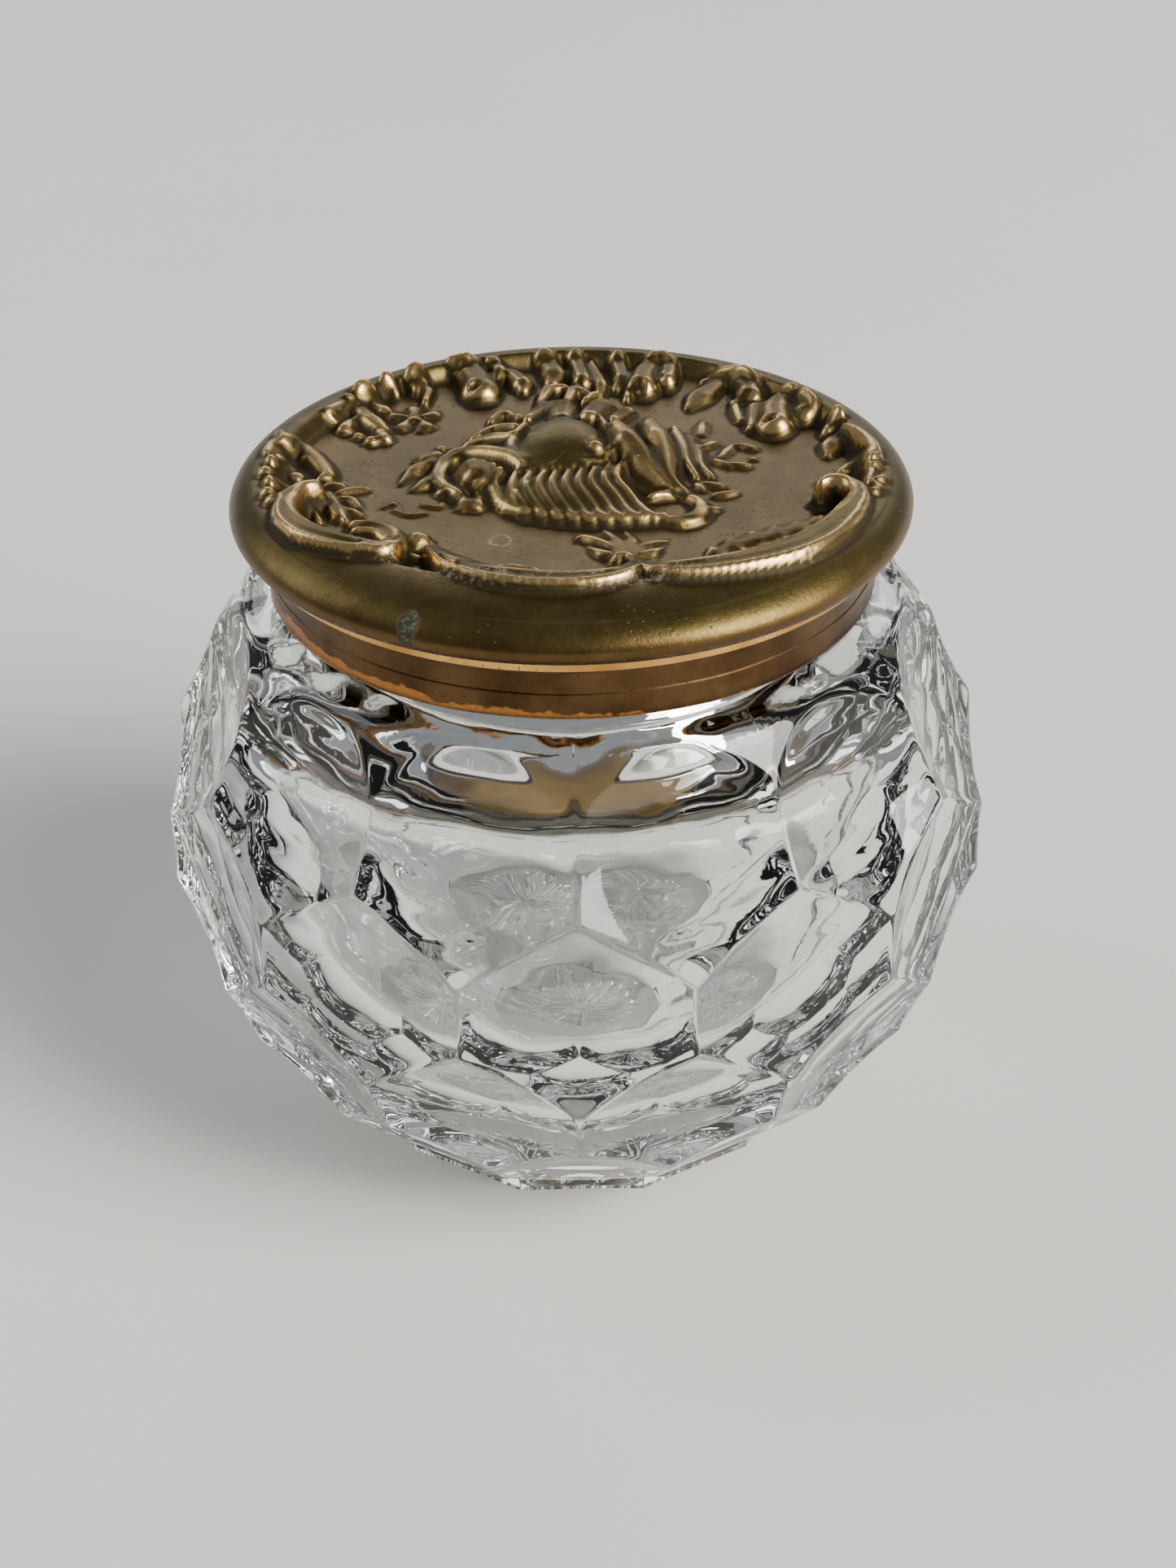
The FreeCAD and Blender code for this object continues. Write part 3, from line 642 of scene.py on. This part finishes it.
def middleShield(relief):
    relief.add([(-1.4, 9.0), (-1.2, 12.2)], (5.4, 4.6), 1.6)
    relief.add([(-5.6, 13.4), (-7.3, 9), (-6.9, 5), (-4, 2.2), (0, 1.4), (3.2, 2.4)],
               (0.6, 0.9, 0.9, 0.6), 1.1)
    relief.add([(3.6, 15), (4.7, 11), (4.9, 6), (4, 2.6)], (0.6, 0.9, 0.8, 0.5), 1.2)
    for points, width, rise in [
            ([(-5.4, 15.2), (-3.4, 18.4), (-1.2, 19.6)], (0.8, 1.7, 1.2), 1.5),
            ([(-1.2, 16), (-1, 19.4)], (1.6, 2.0), 1.7),
            ([(2.4, 16.4), (3.8, 19.4)], (1.7, 2.1), 1.7),
            ([(5.4, 14.6), (7, 17.2)], (1.0, 1.3), 1.2),
            ([(-3.8, 20), (-2.8, 24.2), (-0.8, 24.9)], (0.8, 1.3, 0.8), 1.6),
            ([(-0.4, 20.6), (0.4, 24), (1.9, 23.2)], (0.9, 1.2, 0.7), 1.5),
            ([(1.8, 20.4), (3, 22.4)], (0.8, 0.8), 1.3),
            ([(-6.4, 15.6), (-8.4, 16.6), (-9.9, 14.4)], (0.8, 1.2, 0.6), 1.1),
            ([(-6.8, 13), (-9.4, 12.6), (-12, 9.6)], (0.7, 1.1, 0.5), 1.1),
            ([(-7.4, 10.2), (-9.8, 9.8), (-12.8, 7.4)], (0.8, 1.3, 0.6), 1.2)]:
        relief.add(points, width, rise, 0.12)
    relief.ball(3.0, 6.9, 1.5, 1.9)
    # shell ribs below the shield, nested crescents that hook to the right
    for n in range(9):
        x0, y0 = -6.2 + 1.55 * n, 0.6 - 0.25 * n + 0.055 * n * n
        x1, y1 = -4.4 + 1.86 * n, -11.2 - 0.75 * n + 0.07 * n * n
        run = x1 - x0
        relief.add([(x0, y0), (x0 - 0.8, y0 - 4), (x0 - 0.5 + 0.2 * run, y0 - 8),
                    (x0 + 0.55 * run, y1 + 1.1), (x1, y1 + 0.1), (x1 + 0.6, y1 + 0.5)],
                   (0.6, 0.95, 1.1, 1.05, 0.8, 0.5), (0.9, 1.6, 1.8, 1.6, 1.3, 0.9))
    relief.add([(-8.2, 0.6), (-9, -3.6), (-8, -8.2), (-5.8, -11), (-5, -11.4)],
               (0.6, 1.0, 1.0, 0.8, 0.5), 1.3)
    # long lobes down the right
    relief.add([(5.8, 13), (7, 10), (8.2, 6), (9.2, 1.5), (10.4, -2.5), (12, -6.4)],
               (1.8, 2.3, 2.2, 1.9, 1.5, 1.0), (2.2, 2.9, 2.6, 2.2, 1.7, 1.1))
    relief.add([(9.7, 14.2), (10.8, 10.5), (11.3, 5), (11.4, 0), (12, -3.6), (13.2, -6.6)],
               (1.7, 2.1, 1.8, 1.4, 1.2, 0.8), (2.0, 2.6, 2.2, 1.9, 1.4, 0.9))
    relief.add([(12.7, 11.6), (13.6, 7), (13.8, 2), (14.8, -2.6)], (0.8, 1.1, 1.0, 0.5), 1.1)
    relief.add([(14.4, 9), (15.2, 4.6), (15.4, 0.6), (16.6, -2.4)], (0.6, 0.9, 0.8, 0.4), 0.9)
    relief.add([(9.2, -7.4), (11.4, -6.9), (13.7, -7.7), (15, -9.8), (14.2, -12.5), (11.6, -13.6),
                (8.8, -13)],
               (0.5, 0.8, 0.9, 1.2, 1.5, 1.2, 0.6), (1.0, 1.1, 1.2, 1.2, 1.2, 0.8))
    relief.add([(14.8, -12.2), (16.9, -10.8)], (0.8, 0.4), 0.8)
    relief.hollow(12.6, -9.4, 1.3, 0.8)
    # left scroll and its leaves
    relief.band([(-6, 1.2), (-7.4, 4), (-10.4, 5.8), (-13.6, 4.6), (-15.2, 1), (-14.8, -3), (-12.8, -6)],
                (0.6, 1.0, 1.2, 1.2, 1.0, 0.8, 0.5), 1.4, crest=False)
    relief.add([(-12, 2), (-11.6, 0)], (2.2, 2.1), 2.6)
    relief.add([(-10.3, 2.8), (-10.2, -2), (-11.2, -3.6)], (0.5, 0.9, 0.5), 2.0)
    relief.add([(-9.3, 1.4), (-9.2, -4.6)], (0.9, 1.0), 1.3)
    relief.add([(-13.6, -1.4), (-12.6, -5)], (0.7, 0.8), 1.2)
    for leaf in [[(-15.8, 3.2), (-18.4, 1), (-20, -3.8)], [(-15.4, 0.2), (-17, -2.8), (-18.6, -5.6)],
                 [(-14.6, -4), (-15.2, -6.6)], [(-12.6, -6.4), (-12.2, -8.6), (-13, -10.8)],
                 [(-10.6, -6.4), (-10.9, -8.8), (-12, -10.2)], [(-15.8, 5), (-17.4, 4), (-18.6, 2.6)]]:
        relief.add(leaf, (0.7, 1.2, 0.35), (1.0, 1.1, 0.5), 0.2)
    relief.ball(-15.5, 6.3, 0.8)
    for leaf in [[(-21.5, -9.9), (-20.3, -8.9), (-19.6, -10.2)],
                 [(-20.2, -10.6), (-18.4, -11.9), (-16.6, -11.4)],
                 [(-17, -9.4), (-15.2, -10), (-14.6, -8.8)]]:
        relief.add(leaf, (0.4, 0.5, 0.35), 0.45)
    for leaf in [[(15.8, 9.4), (16.2, 13.2)], [(17.8, 2.8), (19.4, 6.4)], [(20.2, 6.3), (22.2, 5)],
                 [(19, 0.7), (21.2, 0.2)], [(15.6, 5.4), (17.4, 7.4)], [(15.2, -4.4), (17.8, -5.2)],
                 [(16.4, -7.6), (19.3, -6.9)], [(17, 2), (18.8, 0.2)], [(14.4, -4.6), (15.4, -6.2)]]:
        relief.add(leaf, (0.4, 0.8, 0.4), 0.7)
    relief.ball(21.7, 2, 0.6)


def discGrid(count, radius):  # square grid bent to a disc
    t = np.linspace(-1, 1, count)
    a, b = np.meshgrid(t, t, indexing="ij")
    wide = np.abs(a) > np.abs(b)
    big = np.where(wide, a, b)
    other = np.where(wide, b, a)
    angle = math.pi / 4 * other / np.where(big == 0, 1, big)
    x = np.where(wide, big * np.cos(angle), big * np.sin(angle))
    y = np.where(wide, big * np.sin(angle), big * np.cos(angle))
    return x * radius, y * radius


def blurred(field, reach):
    window = np.exp(-np.linspace(-2, 2, 2 * reach + 1) ** 2)
    window /= window.sum()
    padded = np.pad(field, reach, mode="edge")
    for axis in (0, 1):
        padded = np.apply_along_axis(lambda v: np.convolve(v, window, "same"), axis, padded)
    return padded[reach:-reach, reach:-reach]


def soften(field):
    field = np.pad(field, 1, mode="edge")
    field = (field[:-2] + 2 * field[1:-1] + field[2:]) / 4
    return (field[:, :-2] + 2 * field[:, 1:-1] + field[:, 2:]) / 4


def makeLid(material):
    count = lid["gridCount"]
    x, y = discGrid(count, lid["gridRadius"])
    relief = Relief(x, y)
    frontBorder(relief)
    leftBorder(relief)
    backBorder(relief)
    middleShield(relief)
    fade = (lid["gridRadius"] - np.hypot(x, y)).clip(0, 1)
    dents = waves(np.stack([x, y, 0 * x], -1), lid["dentLength"], lid["seed"]) * lid["dent"]
    raised = soften(soften(relief.height))
    height = lidBase(x, y) + raised * fade + dents * fade
    fine = height - blurred(height, 4)
    # grid vertices, then rim rows that start from the grid's edge
    points = [np.stack([x.ravel(), y.ravel(), height.ravel()], 1)]
    index = np.arange(count * count).reshape(count, count)
    quads = np.stack([index[:-1, :-1], index[1:, :-1], index[1:, 1:], index[:-1, 1:]], -1).reshape(-1, 4)
    edge = np.concatenate([index[:-1, 0], index[-1, :-1], index[:0:-1, -1], index[0, :0:-1]])
    ex, ey = x.ravel()[edge], y.ravel()[edge]
    ux, uy = ex / np.hypot(ex, ey), ey / np.hypot(ex, ey)
    rows = []
    for share in np.linspace(0, 1, 10)[1:]:
        radius = lid["gridRadius"] + (lid["rimRadius"] - lid["gridRadius"]) * math.sin(share * math.pi / 2)
        wanted = lidBase(ux * radius * 0.99999, uy * radius * 0.99999)
        rows.append(np.stack([ux * radius, uy * radius, wanted], 1))
    widest, foot = (lid["rimRadius"], lid["rimHeight"]), lid["rimFoot"]
    under = [tuple(p) for p in quarterPoints(foot, (widest[0], foot[1]), widest, 9)[::-1][1:]]
    bore = lid["flangeBore"]
    under += [((foot[0] + bore) / 2, foot[1]), (bore, foot[1]), (bore, foot[1] + 0.8),
              (lid["capRadius"], lid["capHeight"])]
    for radius, z in under:
        rows.append(np.stack([ux * radius, uy * radius, z + 0 * ux], 1))
    columns = len(edge)
    first = count * count
    faces = quads.tolist()
    ringIndex = [edge] + [np.arange(columns) + first + n * columns for n in range(len(rows))]
    for low, high in zip(ringIndex, ringIndex[1:]):
        low2, high2 = np.roll(low, -1), np.roll(high, -1)
        faces += np.stack([low, high, high2, low2], 1).tolist()
    faces.append(ringIndex[-1].tolist())
    points = np.concatenate(points + rows)
    piece = makeMesh("pressedLid", points, faces, material)
    mesh = piece.data
    worn, dark = np.zeros(len(points)), np.zeros(len(points))
    worn[:first] = (fine.ravel() / 0.16).clip(0, 1) * (0.35 + 0.65 * (raised.ravel() / 0.8).clip(0, 1))
    dark[:first] = (-fine.ravel() / 0.14).clip(0, 1)
    for name, values in (("worn", worn), ("grime", dark)):
        mesh.attributes.new(name, "FLOAT", "POINT").data.foreach_set("value", values)
    return piece


def lidBrass():
    paint = Paint("lidBrass")
    place = paint.place()
    worn, grime = paint.attribute("worn"), paint.attribute("grime")
    cloud = paint.noise(place, 0.011, 5.0, 0.6)
    mottle = paint.noise(place, 0.0032, 4.0, 0.6)
    grain = paint.noise(place, 0.0005, 3.0, 0.65)
    x, y, z = paint.parts(place)
    pits = paint.spots(place, 0.0009).between(0.18, 0.06)
    pits = pits * paint.noise(place, 0.007, 2.0).between(0.48, 0.62)
    ground = paint.mix(cloud.between(0.3, 0.7), (0.072, 0.053, 0.016), (0.128, 0.096, 0.032))
    ground = paint.mix(mottle.between(0.45, 0.75) * 0.4, ground, (0.20, 0.120, 0.058))
    low = z.between(0.0862, 0.0828)  # painted reflection: redder and darker towards the foot of the rim, standing in for the dark table it reflects
    ground = paint.mix(low * 0.75, ground, paint.mix(mottle, (0.075, 0.034, 0.014), (0.12, 0.062, 0.026)))
    rub = (worn * 1.2 + (mottle - 0.5) * 0.5).between(0.2, 0.95)
    colour = paint.mix(rub * 0.8, ground, (0.66, 0.44, 0.19))
    soot = (grime * 1.2 + (cloud - 0.5) * 0.4).between(0.2, 1.0)
    colour = paint.mix(soot * 0.8, colour, (0.018, 0.012, 0.006))
    colour = paint.mix(pits * 0.6, colour, (0.035, 0.024, 0.014))
    # dust along the groove in front of the border, a green spot and a dried ring
    radius = paint.length(paint.stretched(place, (1, 1, 0)))
    dust = radius.between(0.0300, 0.0312) * radius.between(0.0338, 0.0318) * y.between(-0.012, -0.022)
    dust = dust * paint.noise(place, 0.0008, 4.0, 0.7).between(0.5, 0.64)
    colour = paint.mix(dust * 0.55, colour, (0.30, 0.26, 0.21))
    spot = paint.reach(place, (-0.0173, -0.0360, 0.0854), (1, 0.8, 0.6)) + (mottle - 0.5) * 0.0026
    green = spot.between(0.0017, 0.0011)
    colour = paint.mix(green * 0.85, colour, paint.mix(grain.between(0.5, 0.62), (0.012, 0.012, 0.008),
                                                     (0.06, 0.10, 0.075)))
    blot = paint.noise(place, 0.0016, 3.0)
    tide = paint.reach(place, (-0.0081, -0.0151, 0.0849), (1, 1, 0)) + (blot - 0.5) * 0.0022
    tide = tide.between(0.00105, 0.0013) * tide.between(0.0016, 0.00135)
    colour = paint.mix(tide * grain.between(0.35, 0.6) * 0.5, colour, (0.42, 0.42, 0.36))
    rough = 0.37 - rub * 0.11 + soot * 0.25 + (grain - 0.5) * 0.16 + pits * 0.2 + green * 0.4 + dust * 0.3
    height = grain * 0.7 + mottle * 0.6 - pits * 1.2 + green * grain * 2.0
    return paint.finish({"Base Color": colour, "Metallic": 1.0 - soot * 0.2 - green * 0.8 - dust * 0.4,
                         "Roughness": rough.clamped(), "Normal": paint.bump(height, 0.00006, 0.8)})


pressedLid = makeLid(lidBrass())
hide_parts("lid_shell")
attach(pressedLid, "lid")
print("lid made")


# ---------- collar band with its stepped side and worn lower edge ----------
collar = {
    "columns": 288, "bore": 35.4, "foot": 73.8, "top": 79.78,
    "side": [(35.95, 73.8), (36.22, 73.98), (36.3, 74.3), (36.3, 74.9), (36.24, 76.0), (36.2, 76.85),
             (36.1, 77.0), (36.08, 77.2), (36.1, 78.6), (36.08, 79.5), (35.95, 79.78)],
    "dent": 0.05, "seed": 23,
}


def makeCollar(material):
    angles = np.linspace(0, 2 * math.pi, collar["columns"], endpoint=False)
    side = curved(collar["side"], 40)
    line = [(collar["bore"], collar["foot"]), (35.7, collar["foot"])] + list(side)
    line += [(collar["bore"], collar["top"]), (collar["bore"], 76.8)]
    rows = turnedRows(line, angles)
    outward = rows * np.array([1, 1, 0]) / np.hypot(rows[..., 0], rows[..., 1])[..., None]
    bumpy = waves(rows, 11.0, collar["seed"])[..., None] * collar["dent"]
    rows = rows + outward * bumpy * (np.hypot(rows[..., :1], rows[..., 1:2]) > 35.6)
    points = rows.reshape(-1, 3)
    faces = ringFaces(len(line), len(angles))
    last = (len(line) - 1) * len(angles)
    for column in range(len(angles)):
        after = (column + 1) % len(angles)
        faces.append((last + column, last + after, after, column))
    return makeMesh("collarSide", points, faces, material)


def agedBrass(name, dark, pale, worn, rough, wearAmount, seed, edge=None):
    paint = Paint(name)
    shift = (seed, seed, seed)
    place = paint.node("ShaderNodeVectorMath", {"operation": "ADD"}, {0: paint.place(), 1: shift})
    cloud = paint.noise(place, 0.009, 5.0, 0.6)
    mottle = paint.noise(place, 0.0026, 5.0, 0.65)
    grain = paint.noise(place, 0.0005, 3.0, 0.6)
    x, y, z = paint.parts(paint.place())
    colour = paint.mix(cloud.between(0.3, 0.7), dark, pale)
    rub = (mottle - 0.5 + wearAmount).between(0.42, 0.62)
    if edge:
        ragged = (z - edge[0]) * edge[1] + (mottle - 0.5) * 1.6 + (cloud - 0.5) * 1.2 + x * 24.0
        rub = rub.math("MAXIMUM", rub, ragged.between(0.15, -0.05) * (0.55 + grain * 0.6))
    colour = paint.mix(rub.clamped() * 0.85, colour, worn)
    flecks = paint.spots(place, 0.0007).between(0.2, 0.08) * cloud.between(0.45, 0.6)
    colour = paint.mix(flecks * 0.7, colour, (0.02, 0.013, 0.008))
    roughness = rough - rub * 0.06 + (grain - 0.5) * 0.16 + flecks * 0.2
    height = grain * 0.6 + mottle * 0.8 - flecks
    return paint.finish({"Base Color": colour, "Metallic": 1.0 - flecks * 0.5,
                         "Roughness": roughness.clamped(), "Normal": paint.bump(height, 0.00005, 0.8)})


def oldPlaster():
    paint = Paint("oldPlaster")
    place = paint.place()
    grain = paint.noise(place, 0.0009, 6.0, 0.7)
    colour = paint.mix(grain, (0.34, 0.29, 0.22), (0.56, 0.50, 0.41))
    return paint.finish({"Base Color": colour, "Roughness": 0.92, "Normal": paint.bump(grain, 0.0002)})


def pinSteel():
    paint = Paint("pinSteel")
    place = paint.place()
    lines = paint.noise(paint.stretched(place, (0.1, 1, 1)), 0.0003, 3.0)
    rust = paint.noise(place, 0.0012, 4.0).between(0.52, 0.66)
    bare = paint.mix(lines, (0.22, 0.21, 0.19), (0.36, 0.34, 0.31))
    colour = paint.mix(rust * 0.7, bare, (0.14, 0.06, 0.03))
    return paint.finish({"Base Color": colour, "Metallic": 1.0 - rust * 0.6, "Roughness": 0.34 + rust * 0.35,
                         "Normal": paint.bump(lines + rust, 0.00003)})


def roundEdges(node, width):  # rounds a piece's machined edges
    bevel = node.modifiers.new("worn edges", "BEVEL")
    bevel.width = width * mm
    bevel.segments = 3
    bevel.limit_method = "ANGLE"
    bevel.angle_limit = math.radians(35)


# dark, pale and worn colour, roughness, how far it is worn, and a shift that makes each one differ
brass = {
    "collar": ((0.050, 0.026, 0.011), (0.115, 0.066, 0.029), (0.46, 0.20, 0.055), 0.34, -0.04, 0.3),
    "ring": ((0.42, 0.21, 0.055), (0.70, 0.40, 0.13), (0.90, 0.62, 0.28), 0.27, 0.12, 1.7),
    "seat": ((0.060, 0.034, 0.015), (0.13, 0.080, 0.035), (0.40, 0.24, 0.09), 0.36, 0.0, 2.9),
    "liner": ((0.26, 0.155, 0.050), (0.46, 0.30, 0.11), (0.66, 0.46, 0.19), 0.42, 0.0, 4.1),
    "hinge": ((0.085, 0.056, 0.022), (0.16, 0.11, 0.045), (0.50, 0.34, 0.14), 0.33, 0.05, 5.3),
}
wornFoot = (0.0745, 650.0)  # height in metres that the collar is rubbed up to, and how sharply it ends
collarPaint = agedBrass("collarBrass", *brass["collar"], edge=wornFoot)
ringPaint, seatPaint, linerPaint, hingePaint = [
    agedBrass(name + "Brass", *brass[name]) for name in ("ring", "seat", "liner", "hinge")]
plasterPaint, steelPaint = oldPlaster(), pinSteel()

collarSide = makeCollar(collarPaint)
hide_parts("collar_band")
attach(collarSide, "jar")

finishes = {
    "collar_band": collarPaint, "collar_seat_ring": seatPaint, "lid_rim_ring": ringPaint,
    "lid_liner": linerPaint, "neck_plaster": plasterPaint, "hinge_pin": steelPaint,
    "lid_shell": ringPaint, "glass_body": glassPaint,
}
for name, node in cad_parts.items():
    node.data.materials.clear()
    node.data.materials.append(finishes.get(name, hingePaint))
for name, width in [("lid_rim_ring", 0.3), ("collar_seat_ring", 0.15), ("lid_liner", 0.1)]:
    roundEdges(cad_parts[name], width)
for name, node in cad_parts.items():
    if name.startswith("hinge") and name != "hinge_pin":
        roundEdges(node, 0.22)
print("collar and hinge finished")


# ---------- floor, lights, camera ----------
studio = {
    "floorSize": 30.0, "floorColours": ((0.70, 0.68, 0.65), (0.76, 0.74, 0.71)),
    "air": (0.60, 0.62, 0.64, 1.0), "airStrength": 0.42, "middle": (0, 0, 0.045),
    "camera": (0.0015, -0.2569, 0.2065), "pitch": 32.55, "roll": 0.8, "lens": 54.7,
}


def floorPaint():
    paint = Paint("studioFloor")
    place = paint.place()
    cloud = paint.noise(place, 0.15, 3.0)
    colour = paint.mix(cloud, *studio["floorColours"])
    return paint.finish({"Base Color": colour, "Roughness": 0.7})


def makeFloor():
    half = studio["floorSize"] / 2 / mm
    piece = makeMesh("floor", [(-half, -half, 0), (half, -half, 0), (half, half, 0), (-half, half, 0)],
                     [(0, 1, 2, 3)], floorPaint())
    piece.location.z = -0.00002


def addSoftbox(name, place, size, power, colour):
    light = bpy.data.lights.new(name, "AREA")
    light.shape = "RECTANGLE"
    light.size, light.size_y = size
    light.energy = power
    light.color = colour
    lamp = bpy.data.objects.new(name, light)
    lamp.location = place
    lamp.rotation_euler = (Vector(studio["middle"]) - Vector(place)).to_track_quat("-Z", "Y").to_euler()
    bpy.context.scene.collection.objects.link(lamp)


def addSun(name, place, power, spread, colour):  # even light over the whole floor
    light = bpy.data.lights.new(name, "SUN")
    light.energy = power
    light.angle = math.radians(spread)
    light.color = colour
    lamp = bpy.data.objects.new(name, light)
    lamp.rotation_euler = (-Vector(place)).to_track_quat("-Z", "Y").to_euler()
    bpy.context.scene.collection.objects.link(lamp)


def makeWorld():
    world = bpy.data.worlds.new("studioAir")
    world.use_nodes = True
    background = world.node_tree.nodes["Background"]
    background.inputs["Color"].default_value = studio["air"]
    background.inputs["Strength"].default_value = studio["airStrength"]
    bpy.context.scene.world = world


def makeCamera():
    data = bpy.data.cameras.new("camera")
    data.sensor_width = 36.0
    data.lens = studio["lens"]
    data.clip_start, data.clip_end = 0.01, 50.0
    camera = bpy.data.objects.new("camera", data)
    camera.location = studio["camera"]
    bpy.context.scene.collection.objects.link(camera)
    camera.rotation_mode = "QUATERNION"
    pitch = math.radians(studio["pitch"])
    turn = Vector((0, math.cos(pitch), -math.sin(pitch))).to_track_quat("-Z", "Y")
    camera.rotation_quaternion = turn @ Quaternion((0, 0, 1), math.radians(-studio["roll"]))
    bpy.context.scene.camera = camera


makeFloor()
makeWorld()
makeCamera()
addSoftbox("windowRight", (1.86, -1.02, 1.20), (1.35, 1.65), 100, (1.0, 0.96, 0.90))
addSoftbox("skyLeft", (-2.4, 0.75, 1.65), (1.5, 2.1), 24, (0.92, 0.96, 1.0))
addSoftbox("wallBack", (0.3, 3.3, 1.86), (4.5, 1.5), 38, (1.0, 0.98, 0.94))
addSun("daylight", (0.7, -0.5, 0.8), 1.6, 28, (1.0, 0.98, 0.95))
print("studio made")
